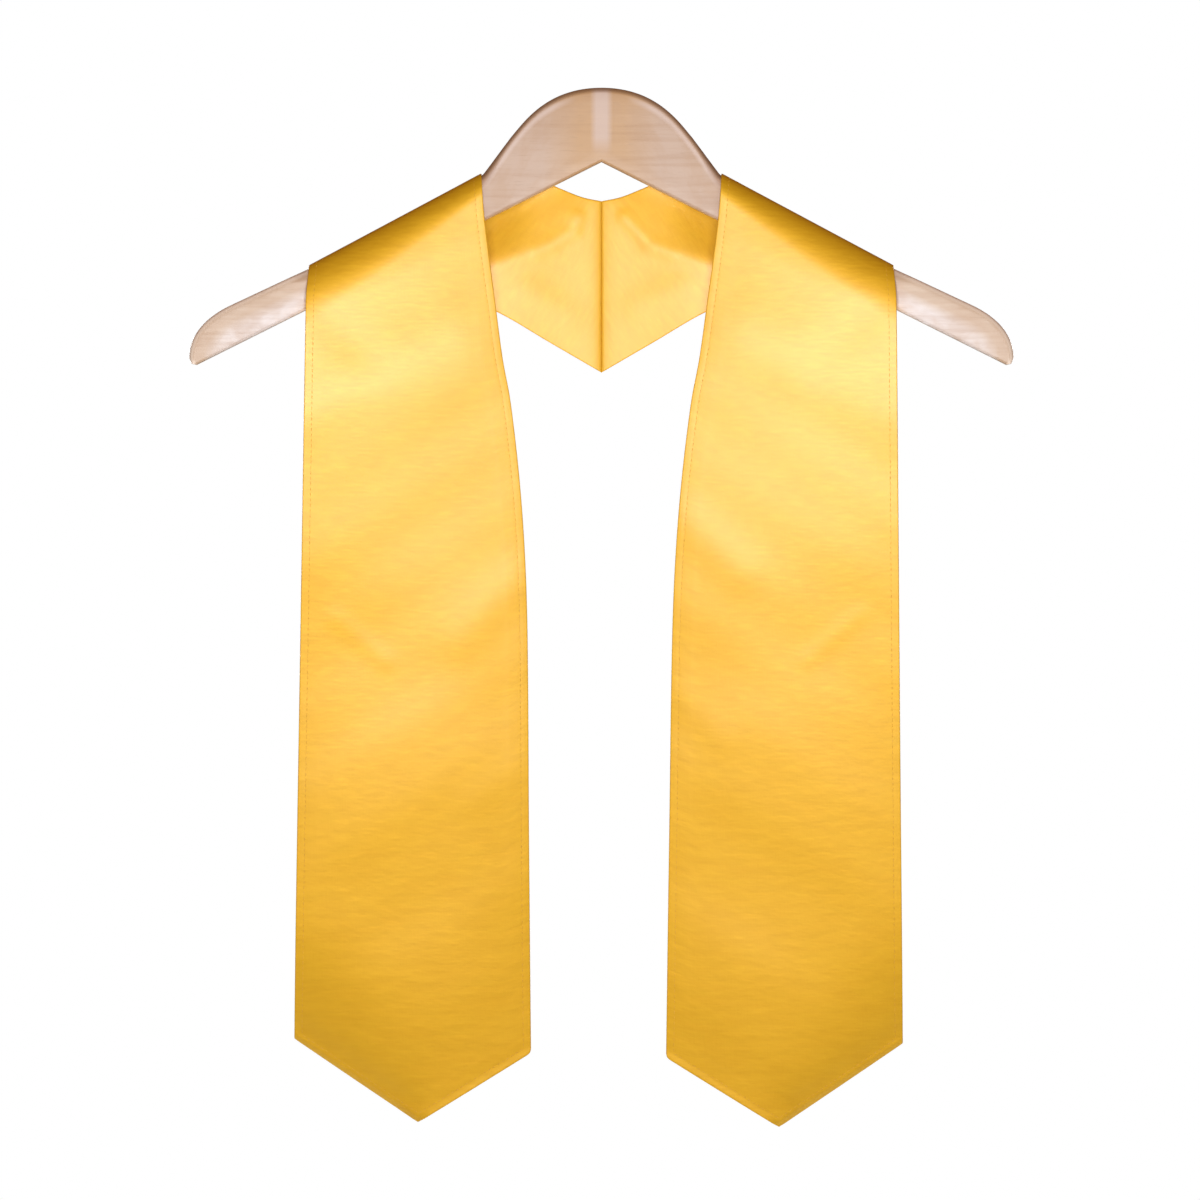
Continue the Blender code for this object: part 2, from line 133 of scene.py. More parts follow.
# Topstitching, and the share of the yoke that it goes along: nearly all outside, just over the arm inside
STITCH_INSET = 0.0042
STITCH_GROOVE, STITCH_GROOVE_WIDTH = 0.000018, 0.0008
STITCH_LENGTH = 0.0023
STITCH_PITCH = 0.0029
STITCH_RADIUS = 0.00013
STITCH_WIDE, STITCH_HIGH = 1.15, 0.8
STITCHED_YOKE_FACE, STITCHED_YOKE_FACING = 0.985, 0.08

# Spacing of the cloth's points, fine next to its edges and coarse in the middle
EDGE_STEPS, NEXT_STEP = np.array((0.0, 0.2, 0.5, 0.9)), 1.6
FINE = 0.0007
FINE_ACROSS, COARSE_ACROSS = 0.0126, 0.0032
FINE_DOWN, COARSE_DOWN = 0.0140, 0.0028
STRIP_LENGTH, BEND_SHARE = 0.45, 0.115
SEAM_SHARE = 0.10
ROWS_OVER, ROWS_BEHIND, ROWS_YOKE, ROWS_SEAM = 42, 19, 44, 20
# Farther from any edge than the cloth is wide
FAR = 1.0

Side = namedtuple("Side", "name way extra_drop pinch_width seed")
SIDES = (Side("left", 1, 0.0014, 0.0060, 3.1), Side("right", -1, -0.0012, 0.0048, 8.7))

# Soft creases: x0, z0, x1, z1 of a line seen from the front, its width, and how far it lifts the cloth
CREASES_STRIP = {
    "left": (
        (0.158, -0.172, 0.080, -0.134, 0.024, 0.0008),
        (0.140, -0.285, 0.113, -0.309, 0.0050, 0.00014),
        (0.176, -0.515, 0.128, -0.563, 0.034, -0.0048),
        (0.060, -0.420, 0.120, -0.455, 0.034, -0.0007),
        (0.150, -0.118, 0.118, -0.150, 0.012, -0.0003),
        (0.050, -0.236, 0.076, -0.262, 0.012, 0.0003),
        (0.043, -0.330, 0.066, -0.352, 0.010, 0.0002),
        (0.1629, -0.5135, 0.1080, -0.5506, 0.0085, -0.0010),
        (0.1652, -0.5176, 0.0978, -0.5618, 0.0022, -0.0018),
        (0.1633, -0.5140, 0.0962, -0.5593, 0.0010, 0.00008),
        (0.0365, -0.5240, 0.0970, -0.5616, 0.0026, 0.0003),
    ),
    "right": (
        (0.158, -0.176, 0.080, -0.138, 0.025, 0.0009),
        (0.142, -0.288, 0.116, -0.311, 0.0050, 0.00017),
        (0.176, -0.512, 0.128, -0.560, 0.034, -0.0050),
        (0.062, -0.408, 0.116, -0.446, 0.034, -0.0006),
        (0.152, -0.121, 0.124, -0.149, 0.012, -0.0003),
        (0.047, -0.270, 0.074, -0.300, 0.012, 0.0003),
        (0.045, -0.370, 0.068, -0.388, 0.010, 0.0002),
        (0.1626, -0.5138, 0.1060, -0.5518, 0.0085, -0.0011),
        (0.1651, -0.5175, 0.0978, -0.5618, 0.0022, -0.0019),
        (0.1633, -0.5140, 0.0962, -0.5593, 0.0010, 0.00008),
        (0.0365, -0.5242, 0.0965, -0.5614, 0.0024, 0.0003),
    ),
}
CREASES_YOKE = {
    "left": (
        (0.0127, -0.0699, 0.0267, -0.0848, 0.0040, 0.00034),
        (0.0267, -0.0848, 0.0397, -0.0895, 0.0048, 0.00036),
        (0.0397, -0.0895, 0.0565, -0.0949, 0.0062, 0.00026),
        (0.0200, -0.1180, 0.0440, -0.1080, 0.0090, 0.00022),
    ),
    "right": (
        (0.0129, -0.0699, 0.0152, -0.0773, 0.0040, 0.00032),
        (0.0152, -0.0773, 0.0273, -0.0846, 0.0042, 0.00036),
        (0.0273, -0.0846, 0.0367, -0.0884, 0.0048, 0.00036),
        (0.0367, -0.0884, 0.0560, -0.0949, 0.0062, 0.00026),
        (0.0180, -0.1240, 0.0400, -0.1100, 0.0090, 0.00022),
    ),
}

# Above this line the yoke leans back a little, up to the hanger: distance from the centre line, height
YOKE_LEAN_LINE = np.array((
    (0.000, -0.0640), (0.0130, -0.0710), (0.0270, -0.0855), (0.0400, -0.0908), (0.0700, -0.1018),
))
YOKE_LEAN, YOKE_LEAN_HEIGHT = 0.0050, 0.036
# It leans less near the seam, and not at all past the neck edge: a place and a width for each change
YOKE_LEAN_AT_SEAM, YOKE_LEAN_GROWS, YOKE_LEAN_FADES = 0.40, (0.028, 0.030), (0.078, 0.018)


def mix(a, b, share):
    return a + (b - a) * share


def smooth_step(share):
    share = np.clip(share, 0.0, 1.0)
    return share * share * (3.0 - 2.0 * share)


def read_table(table, column, at):
    """A column of a table at values of its first column, on a smooth curve through the rows."""
    keys, values = table[:, 0], table[:, column]
    at = np.asarray(at, float)
    slopes = np.empty(len(keys))
    slopes[1:-1] = (values[2:] - values[:-2]) / (keys[2:] - keys[:-2])
    slopes[0] = (values[1] - values[0]) / (keys[1] - keys[0])
    slopes[-1] = (values[-1] - values[-2]) / (keys[-1] - keys[-2])
    index = np.clip(np.searchsorted(keys, at) - 1, 0, len(keys) - 2)
    span = keys[index + 1] - keys[index]
    share = np.clip((at - keys[index]) / span, 0.0, 1.0)
    square, cube = share**2, share**3
    return (
        (2 * cube - 3 * square + 1) * values[index]
        + (cube - 2 * square + share) * span * slopes[index]
        + (3 * square - 2 * cube) * values[index + 1]
        + (cube - square) * span * slopes[index + 1]
    )


def forward_sweep(x):
    bend = np.hypot(x, SWEEP_BEND_WIDTH) - SWEEP_BEND_WIDTH
    return -(SWEEP_BEND * bend + SWEEP_CURVE * x * x)


# The cloth's middle surface

FOLD_SLOPE = math.atan2(NECK_CORNER.y - SHOULDER_POINT.y, SHOULDER_POINT.x - NECK_CORNER.x)
POINT_SHARE = (OUTER_FOOT_HALF - POINT_HALF) / (OUTER_FOOT_HALF - FOOT_NECK_HALF)


def fold_height(x):
    """Height of the cloth's middle surface where it goes over the arm."""
    share = (x - NECK_CORNER.x) / (SHOULDER_POINT.x - NECK_CORNER.x)
    arm_top = mix(NECK_CORNER.y, SHOULDER_POINT.y, share)
    return arm_top + mix(RISE[1], RISE[0], np.clip(share, 0.0, 1.0)) / math.cos(FOLD_SLOPE)


def bend_profile(below, drop):
    """How far out the cloth has come at a distance below the fold: 0 at the fold, 1 past the drop."""
    rest = np.clip(1.0 - below / drop, 0.0, 1.0)
    return (1.0 - rest**BEND_POWER) ** (1.0 / BEND_POWER)


def outer_edge(depth):
    share = (depth - OUTER_TOP_DEPTH) / (OUTER_FOOT_DEPTH - OUTER_TOP_DEPTH)
    turn = OUTER_EDGE_TURN * smooth_step((OUTER_EDGE_TURN_END - depth) / OUTER_EDGE_TURN_LENGTH)
    return mix(OUTER_TOP_HALF, OUTER_FOOT_HALF, share) - turn


def neck_edge(depth):
    return read_table(NECK_EDGE, 1, depth)


def half_width(across, depth):
    return mix(outer_edge(depth), neck_edge(depth), across)


def foot_depth(across):
    """Depth of the foot's edge, which slants down from both sides to the point."""
    outer = mix(OUTER_FOOT_DEPTH, POINT_DEPTH, across / POINT_SHARE)
    neck = mix(POINT_DEPTH, FOOT_NECK_DEPTH, (across - POINT_SHARE) / (1.0 - POINT_SHARE))
    return np.where(across <= POINT_SHARE, outer, neck)


def crest_depth(across):
    """Depth at which the cloth goes over the arm, found by a few rounds from a first guess."""
    depth = np.full_like(np.asarray(across, float), 0.08)
    for _ in range(6):
        depth = -fold_height(half_width(across, depth))
    return depth


def crease_lift(creases, x, z, add=np.add):
    """How far the creases lift the cloth at points seen from the front."""
    lift = np.zeros_like(x)
    for x0, z0, x1, z1, width, rise in creases:
        ax, az = x1 - x0, z1 - z0
        share = np.clip(((x - x0) * ax + (z - z0) * az) / (ax * ax + az * az), 0.0, 1.0)
        away = np.hypot(x - x0 - ax * share, z - z0 - az * share)
        lift = add(lift, rise * np.exp(-((away / width) ** 2)))
    return lift


def ripples(side, x, z):
    """Very low, uneven waves that keep a large plain panel from looking like card."""
    s = side.seed
    low = np.sin(23.0 * x + 9.0 * z + s) * np.sin(15.0 * z - 6.0 * x + 1.7 * s)
    mid = np.sin(47.0 * z + 18.0 * x + 2.3 * s) * np.sin(38.0 * x - 11.0 * z + s)
    fine = np.sin(121.0 * z + 33.0 * x + s) * np.sin(66.0 * x + 2.0 * s + 29.0 * z)
    return RIPPLE_LOW * low + RIPPLE_MID * mid + RIPPLE_FINE * fine


def blunt_corners(x, depth):
    """Round the corners of the foot, in slanting coordinates along the two edges that meet there."""
    outer, neck, point = (
        (OUTER_FOOT_HALF, OUTER_FOOT_DEPTH), (FOOT_NECK_HALF, FOOT_NECK_DEPTH), (POINT_HALF, POINT_DEPTH),
    )
    up_outer, up_neck = (OUTER_TOP_HALF, OUTER_TOP_DEPTH), (NECK_EDGE[-2, 1], NECK_EDGE[-2, 0])
    corners = (
        (outer, point, up_outer, CORNER_TANGENT_OUTER),
        (neck, point, up_neck, CORNER_TANGENT_NECK),
        (point, outer, neck, POINT_TANGENT),
    )
    for (cx, cd), (ax, ad), (bx, bd), reach in corners:
        first = np.array((ax - cx, ad - cd)) / math.hypot(ax - cx, ad - cd)
        second = np.array((bx - cx, bd - cd)) / math.hypot(bx - cx, bd - cd)
        det = first[0] * second[1] - first[1] * second[0]
        a = ((x - cx) * second[1] - (depth - cd) * second[0]) / det
        b = ((depth - cd) * first[0] - (x - cx) * first[1]) / det
        near = (a < reach) & (b < reach)
        p = np.clip(1.0 - a / reach, 0.0, 1.0)
        q = np.clip(1.0 - b / reach, 0.0, 1.0)
        p2 = p * np.sqrt(1.0 - q * q / 2.0)
        q2 = q * np.sqrt(1.0 - p * p / 2.0)
        da, db = reach * (p - p2), reach * (q - q2)
        x = x + np.where(near, da * first[0] + db * second[0], 0.0)
        depth = depth + np.where(near, da * first[1] + db * second[1], 0.0)
    return x, depth


def strip_middle(side, across, down):
    crest = crest_depth(across)
    depth = mix(crest, foot_depth(across), down)
    x = half_width(across, depth)
    reach, drop = mix(*FRONT_REACH, across), mix(*FRONT_DROP, across)
    below = (fold_height(x) + depth) * math.cos(FOLD_SLOPE)
    below_arm = depth - HUMP_HEIGHT - x * math.tan(UNDERSIDE_SLOPE)
    hang = smooth_step((below_arm - HANG_BACK_START) / HANG_BACK_LENGTH)
    fall = smooth_step(depth / POINT_DEPTH)
    y = forward_sweep(x) - reach * bend_profile(below, drop) + HANG_BACK * hang
    y = y + FOOT_BACK * np.maximum(0.0, (depth - FOOT_BACK_START) / FOOT_BACK_LENGTH) ** FOOT_BACK_POWER
    centre = mix(FOOT_NECK_HALF, OUTER_FOOT_HALF, 0.5)
    y = y + UNTWIST * fall * (forward_sweep(centre) - forward_sweep(x))
    bow = 1.0 - (2.0 * across - 1.0) ** 2
    lift = mix(CROWN_TOP, CROWN_FOOT, fall) * bow + crease_lift(CREASES_STRIP[side.name], x, -depth)
    lift = lift + ripples(side, x, -depth) * smooth_step((depth - RIPPLE_START) / RIPPLE_FADE)
    y = y - lift * smooth_step(below / FRONT_DROP[0])
    x, depth = blunt_corners(x, depth)
    drop_share = smooth_step((depth - EXTRA_DROP_START) / EXTRA_DROP_LENGTH)
    return x + FOOT_SWAY * fall * side.way, y, -depth - side.extra_drop * drop_share


def yoke_edges(back):
    """Distance from the centre line, and depth, of the yoke's outer and of its neck edge."""
    outer = read_table(YOKE_OUTER_EDGE, 1, back), read_table(YOKE_OUTER_EDGE, 2, back)
    neck = read_table(YOKE_NECK_EDGE, 1, back), read_table(YOKE_NECK_EDGE, 2, back)
    return outer, neck


def yoke_width(back):
    (outer_x, outer_depth), (neck_x, neck_depth) = yoke_edges(back)
    return np.hypot(outer_x - neck_x, outer_depth - neck_depth) * YOKE_WIDTH_SHARE


def yoke_middle(side, across, back):
    (outer_x, outer_depth), (neck_x, neck_depth) = yoke_edges(back)
    x, depth = mix(outer_x, neck_x, across), mix(outer_depth, neck_depth, across)
    crest = crest_depth(across)
    tie = 1.0 - smooth_step(back / YOKE_TIE)
    x = x + (half_width(across, crest) - mix(YOKE_OUTER_EDGE[0, 1], YOKE_NECK_EDGE[0, 1], across)) * tie
    depth = depth + (crest - mix(YOKE_OUTER_EDGE[0, 2], YOKE_NECK_EDGE[0, 2], across)) * tie
    x = np.maximum(x, -SEAM_OVERLAP)
    reach, drop = mix(*YOKE_REACH, across), mix(*YOKE_DROP, across)
    below = np.maximum(0.0, fold_height(x) + depth) * math.cos(FOLD_SLOPE)
    y = forward_sweep(x) + reach * bend_profile(below, drop)
    y = y + YOKE_BULGE * smooth_step(1.0 - x / NECK_CORNER.x)
    y = y + SEAM_PINCH * np.exp(-np.maximum(x, 0.0) / side.pinch_width)
    free = smooth_step(below / YOKE_DROP[0])
    above = -depth - np.interp(x, YOKE_LEAN_LINE[:, 0], YOKE_LEAN_LINE[:, 1])
    grows, fades = YOKE_LEAN_GROWS, YOKE_LEAN_FADES
    lean = YOKE_LEAN * mix(YOKE_LEAN_AT_SEAM, 1.0, smooth_step((x - grows[0]) / grows[1]))
    lean = lean * smooth_step((fades[0] - x) / fades[1])
    y = y + lean * smooth_step(above / YOKE_LEAN_HEIGHT)
    # seen from the front a crease that stands proud comes towards the camera
    y = y - crease_lift(CREASES_YOKE[side.name], x, -depth, np.maximum) * free
    return x, y, -depth


def middle(side, path, across, share):
    """Points of the cloth's middle surface; path is 0 on the strip and 1 on the yoke."""
    strip = strip_middle(side, across, np.where(path == 0, share, 0.0))
    yoke = yoke_middle(side, across, np.where(path == 1, share, 0.0))
    return np.stack([np.where(path == 0, a, b) for a, b in zip(strip, yoke)], axis=-1)


# How the two layers lie either side of the middle surface


def foot_slant(across):
    """What turns a height above the foot's slanted edge into a distance from it."""
    return np.where(across <= POINT_SHARE, math.cos(FOOT_SLOPE_OUTER), math.cos(FOOT_SLOPE_NECK))


def edge_distances(across, path, share):
    """Distances from the nearest sewn edge and from the centre-back seam, in metres."""
    crest = crest_depth(across)
    depth = mix(crest, foot_depth(across), share)
    strip_width = outer_edge(depth) - neck_edge(depth)
    foot = (foot_depth(across) - depth) * foot_slant(across)
    back = np.where(path == 1, share, 0.0)
    (outer_x, _), (neck_x, _) = yoke_edges(back)
    width = np.where(path == 0, strip_width, yoke_width(back))
    foot = np.where(path == 0, foot, FAR)
    seam = np.where(path == 1, mix(outer_x, neck_x, across), FAR)
    return np.minimum(np.minimum(across, 1.0 - across) * width, foot), seam


def allowance(distance):
    """1 over the seam allowance that lies inside an edge, and 0 elsewhere."""
    risen = smooth_step((distance - ALLOWANCE_START) / ALLOWANCE_FADE_IN)
    return risen * (1.0 - smooth_step((distance - ALLOWANCE_WIDTH) / ALLOWANCE_FADE_OUT))


def edge_roll(distance, reach):
    """A quarter round: 0 on the edge, 1 from the reach on."""
    rest = np.clip(1.0 - distance / reach, 0.0, 1.0)
    return np.sqrt(1.0 - rest * rest)


def layer_offset(side, across, path, share, point):
    """Distance of a layer's outer skin from the middle surface."""
    distance, seam = edge_distances(across, path, share)
    waves = np.sin(310.0 * point[..., 2] + side.seed) * np.sin(97.0 * point[..., 0] + 2.0)
    wander = 1.0 + ALLOWANCE_WANDER * waves
    raised = ALLOWANCE_RISE * (1.0 - path) * allowance(distance) * wander
    from_stitches = (distance - STITCH_INSET) / STITCH_GROOVE_WIDTH
    groove = STITCH_GROOVE * (1.0 - path) * np.exp(-(from_stitches**2))
    body = HALF_BODY + raised - groove
    body = body * edge_roll(distance, EDGE_ROUND) * edge_roll(seam, SEAM_ROUND)
    return LAYER_GAP + CLOTH * EDGE_SHARE + body


def crowded(length, fine, fine_length, coarse):
    """Distances from 0 to length, close together over the first stretch."""
    first = np.concatenate([EDGE_STEPS * fine, np.arange(NEXT_STEP * fine, fine_length, fine)])
    count = max(2, round((length - fine_length) / coarse))
    return np.concatenate([first, np.linspace(fine_length, length, count + 1)])


def column_shares():
    """Places of the columns across the panel, from 0 at the outer edge to 1 at the neck edge."""
    width = OUTER_FOOT_HALF - FOOT_NECK_HALF
    outer = crowded(POINT_SHARE * width, FINE, FINE_ACROSS, COARSE_ACROSS) / width
    neck = 1.0 - crowded((1.0 - POINT_SHARE) * width, FINE, FINE_ACROSS, COARSE_ACROSS) / width
    return np.concatenate([outer, neck[::-1][1:]])


def row_places():
    """Each row's path and share, from the foot, over the arm, to the centre-back seam."""
    down = 1.0 - crowded(STRIP_LENGTH * (1.0 - BEND_SHARE), FINE, FINE_DOWN, COARSE_DOWN) / STRIP_LENGTH
    over = BEND_SHARE * (1.0 - np.linspace(0.0, 1.0, ROWS_OVER)[1:]) ** 1.5
    behind = YOKE_TIE * np.linspace(0.0, 1.0, ROWS_BEHIND)[1:] ** 1.4
    yoke = np.linspace(YOKE_TIE, 1.0 - SEAM_SHARE, ROWS_YOKE)[1:]
    seam = 1.0 - (1.0 - np.linspace(0.0, 1.0, ROWS_SEAM)[1:]) ** 1.3 * SEAM_SHARE
    path = np.concatenate([np.zeros(len(down) + len(over)), np.ones(len(behind) + len(yoke) + len(seam))])
    return path, np.concatenate([down, over, behind, yoke, seam])


def grid_normals(points, way):
    over = np.gradient(points, axis=1)
    up = np.gradient(points, axis=0)
    normals = np.cross(up, over) * way
    return normals / np.linalg.norm(normals, axis=-1, keepdims=True)


def mesh_object(name, verts, faces):
    """A smooth-shaded object of these points and faces."""
    data = bpy.data.meshes.new(name)
    data.from_pydata([tuple(v) for v in verts], [], faces)
    data.validate()
    data.update()
    made = bpy.data.objects.new(name, data)
    bpy.context.scene.collection.objects.link(made)
    data.shade_smooth()
    return made


def turn_faces_outward(made):
    mesh = bmesh.new()
    mesh.from_mesh(made.data)
    bmesh.ops.recalc_face_normals(mesh, faces=mesh.faces)
    mesh.to_mesh(made.data)
    mesh.free()


def panel_form(side):
    """Across, path and share of each point of one panel, with the middle surface's points and normals."""
    across = column_shares()
    path, share = row_places()
    columns, rows = len(across), len(path)
    across = np.broadcast_to(across[None, :], (rows, columns))
    path = np.broadcast_to(path[:, None], (rows, columns))
    share = np.broadcast_to(share[:, None], (rows, columns))
    points = middle(side, path, across, share)
    points[..., 0] *= side.way
    normals = grid_normals(points, side.way)
    # at the seam the edge is cut square, so that the two panels only just touch
    normals[-3:, :, 0] = 0.0
    normals /= np.linalg.norm(normals, axis=-1, keepdims=True)
    return across, path, share, points, normals


def make_layer(side, word, outward, form):
    """One layer of a panel: an outer skin, an inner skin and a rim that joins them."""
    across, path, share, points, normals = form
    rows, columns = across.shape
    outer_offset = layer_offset(side, across, path, share, points)
    inner_offset = np.maximum(LAYER_GAP, outer_offset - CLOTH)
    outer = points + normals * outer_offset[..., None] * outward
    inner = points + normals * inner_offset[..., None] * outward
    verts = np.concatenate([outer.reshape(-1, 3), inner.reshape(-1, 3)])
    back = rows * columns
    flip = outward * side.way > 0
    faces = []
    for i in range(rows - 1):
        for j in range(columns - 1):
            a, b = i * columns + j, i * columns + j + 1
            c, d = b + columns, a + columns
            quad = (a, b, c, d) if not flip else (d, c, b, a)
            faces.append(quad)
            faces.append(tuple(back + k for k in reversed(quad)))
    ring = [(0, j) for j in range(columns)] + [(i, columns - 1) for i in range(1, rows)]
    ring += [(rows - 1, j) for j in range(columns - 2, -1, -1)] + [(i, 0) for i in range(rows - 2, 0, -1)]
    loop = [i * columns + j for i, j in ring]
    for a, b in zip(loop, loop[1:] + loop[:1]):
        quad = (b, a, back + a, back + b)
        faces.append(quad if not flip else tuple(reversed(quad)))
    made = mesh_object(f"{side.name}_{word}_cloth", verts, faces)
    # the cut piece laid flat, in metres, with its threads straight down the strip and on over the arm
    steps = np.linalg.norm(np.diff(points, axis=0), axis=2)
    along = np.concatenate([np.zeros((1, columns)), np.cumsum(steps, axis=0)])
    crest = int(np.argmax(path[:, 0]))
    flat_v = along - along[crest] - crest_depth(across[0])
    flat_u = np.where(path == 0, points[..., 0], points[crest, :, 0])
    uv = np.stack([flat_u, flat_v], axis=-1).reshape(-1, 2)
    uv = np.concatenate([uv, uv])
    layer = made.data.uv_layers.new(name="cut")
    index = np.empty(len(made.data.loops), dtype=np.int32)
    made.data.loops.foreach_get("vertex_index", index)
    layer.data.foreach_set("uv", uv[index].astype(np.float32).ravel())
    return made


# Topstitching, one small stitch after another along each edge


def stitch_paths(yoke_reach):
    """Lines a stitch's inset inside the edges, as arrays of across, path and share."""
    width_foot = OUTER_FOOT_HALF - FOOT_NECK_HALF
    down = np.linspace(1.0, 0.0, 900)
    back = np.linspace(0.0, yoke_reach, 260)[1:]
    lines = []
    for edge in ("outer", "neck"):
        across = np.full_like(down, 0.5)
        for _ in range(3):
            depth = mix(crest_depth(across), foot_depth(across), down)
            inset = STITCH_INSET / (outer_edge(depth) - neck_edge(depth))
            across = inset if edge == "outer" else 1.0 - inset
        inset = STITCH_INSET / yoke_width(back)
        yoke_across = inset if edge == "outer" else 1.0 - inset
        a = np.concatenate([across, yoke_across])
        p = np.concatenate([np.zeros_like(down), np.ones_like(back)])
        s = np.concatenate([down, back])
        # a line ends where it would come nearer to another edge than its inset, with a little to spare
        distance, _ = edge_distances(a, p, s)
        keep = distance > STITCH_INSET * 0.97
        lines.append((a[keep], p[keep], s[keep]))
    inset = STITCH_INSET / width_foot
    to_point, from_point = np.linspace(inset, POINT_SHARE, 120), np.linspace(POINT_SHARE, 1.0 - inset, 120)
    across = np.concatenate([to_point, from_point[1:]])
    crest = crest_depth(across)
    depth = foot_depth(across) - STITCH_INSET / foot_slant(across)
    lines.append((across, np.zeros_like(across), (depth - crest) / (foot_depth(across) - crest)))
    return lines


def path_on_skin(side, outward, across, path, share):
    """Points on a layer's outer skin, with the normals there."""
    def at(a, s, p):
        found = middle(side, p, a, s)
        found[..., 0] *= side.way
        return found

    step_a, step_s = 0.004, 0.002
    over = at(np.clip(across + step_a, 0, 1), share, path) - at(np.clip(across - step_a, 0, 1), share, path)
    ahead = np.where(path == 0, -step_s, step_s)
    up = at(across, np.clip(share + ahead, 0, 1), path) - at(across, np.clip(share - ahead, 0, 1), path)
    normals = np.cross(up, over) * side.way
    normals /= np.linalg.norm(normals, axis=-1, keepdims=True)
    points = at(across, share, path)
    offset = layer_offset(side, across, path, share, points)
    return points + normals * (offset * outward)[:, None], normals * outward


def points_along(run, values, place):
    """A line's points or normals at a distance along it."""
    return np.array([np.interp(place, run, values[:, k]) for k in range(3)])


def make_stitches(side, word, outward):
    verts, faces = [], []
    # a stitch's rings: place along it in stitch lengths, thickness and height in thread radii
    profile = (
        (-0.50, 0.30, -0.9), (-0.36, 0.85, -0.1), (0.00, 1.00, 0.35), (0.36, 0.85, -0.1), (0.50, 0.30, -0.9),
    )
    sides = 6
    near = 0.0008
    for across, path, share in stitch_paths(STITCHED_YOKE_FACE if outward > 0 else STITCHED_YOKE_FACING):
        points, normals = path_on_skin(side, outward, across, path, share)
        run = np.concatenate([[0.0], np.cumsum(np.linalg.norm(np.diff(points, axis=0), axis=1))])
        count = int(run[-1] / STITCH_PITCH)
        centres = (np.arange(count) + 0.5) * run[-1] / count
        for centre in centres:
            start = len(verts)
            ahead = points_along(run, points, centre + near) - points_along(run, points, centre - near)
            ahead /= np.linalg.norm(ahead)
            for along, thick, height in profile:
                place = centre + along * STITCH_LENGTH
                at = points_along(run, points, place)
                normal = points_along(run, normals, place)
                normal /= np.linalg.norm(normal)
                sideways = np.cross(ahead, normal)
                at = at + normal * height * STITCH_RADIUS
                for k in range(sides):
                    turn = 2.0 * math.pi * k / sides
                    ring = sideways * math.cos(turn) * STITCH_WIDE + normal * math.sin(turn) * STITCH_HIGH
                    verts.append(at + ring * STITCH_RADIUS * thick)
            for r in range(len(profile) - 1):
                for k in range(sides):
                    a, b = start + r * sides + k, start + r * sides + (k + 1) % sides
                    faces.append((a, b, b + sides, a + sides))
            faces.append(tuple(start + k for k in reversed(range(sides))))
            faces.append(tuple(start + (len(profile) - 1) * sides + k for k in range(sides)))
    made = mesh_object(f"{side.name}_{word}_stitches", verts, faces)
    turn_faces_outward(made)
    return made


# The hanger, with finer sections than the solid


def bezier(points, share):
    a, b, c, d = points
    rest = 1.0 - share
    return a * rest**3 + b * 3 * rest**2 * share + c * 3 * rest * share**2 + d * share**3


def hanger_top_line():
    """Points of the hanger's top from its middle to the tip of one arm."""
    flank_way = Vector((math.cos(HUMP_FLANK_SLOPE), -math.sin(HUMP_FLANK_SLOPE)))
    crown = (
        Vector((0.0, 0.0)),
        Vector((HUMP_CROWN_HANDLE, 0.0)),
        HUMP_FLANK_START - flank_way * HUMP_FLANK_HANDLE,
        HUMP_FLANK_START,
    )
    line = [bezier(crown, step / 40) for step in range(41)]
    flank_end = NECK_CORNER.lerp(HUMP_FLANK_START, NECK_FILLET_ON_FLANK)
    arm_start = NECK_CORNER.lerp(SHOULDER_POINT, NECK_FILLET_ON_ARM)
    line += [HUMP_FLANK_START.lerp(flank_end, step / 8) for step in range(1, 8)]
    fillet = (flank_end, NECK_CORNER, NECK_CORNER, arm_start)
    line += [bezier(fillet, step / 8) for step in range(9)]
    line += [arm_start.lerp(SHOULDER_POINT, step / 24) for step in range(1, 25)]
    line += [SHOULDER_POINT.lerp(ARM_END_START, step / 16) for step in range(1, 17)]
    arm_way = (ARM_END_START - SHOULDER_POINT).normalized()
    tip_way = Vector((0.0, -1.0))
    end = (
        ARM_END_START,
        ARM_END_START + arm_way * ARM_END_HANDLE,
        ARM_TIP - tip_way * ARM_TIP_HANDLE,
        ARM_TIP,
    )
    line += [bezier(end, step / 32) for step in range(1, 33)]
    line += [ARM_TIP.lerp(ARM_TIP_CORNER, step / 4) for step in range(1, 5)]
    return line


def underside_point(point):
    """Where the section that starts at a point of the top line ends; sections lean inward."""
    neck_foot = NECK_CORNER.x - SECTION_LEAN_NECK
    arm_foot = ARM_END_START.x - SECTION_LEAN_ARM
    tip_foot = ARM_TIP_CORNER.x - SECTION_LEAN_TIP
    if point.x <= NECK_CORNER.x:
        x = neck_foot * point.x / NECK_CORNER.x
    elif point.x <= ARM_END_START.x:
        x = mix(neck_foot, arm_foot, (point.x - NECK_CORNER.x) / (ARM_END_START.x - NECK_CORNER.x))
    else:
        x = mix(arm_foot, tip_foot, (ARM_END_START.y - point.y) / (ARM_END_START.y - ARM_TIP_CORNER.y))
    return Vector((x, -HUMP_HEIGHT - x * math.tan(UNDERSIDE_SLOPE)))


def hanger_top_round(x):
    """Radius of the top edges, which are rounder where cloth lies over them."""
    inside = smooth_step((x - HANGER_ROUND_START) / HANGER_ROUND_FADE)
    inside = inside * smooth_step((HANGER_ROUND_END - x) / HANGER_ROUND_FADE)
    return float(mix(HANGER_ROUND_BARE, HANGER_ROUND_UNDER_CLOTH, inside))


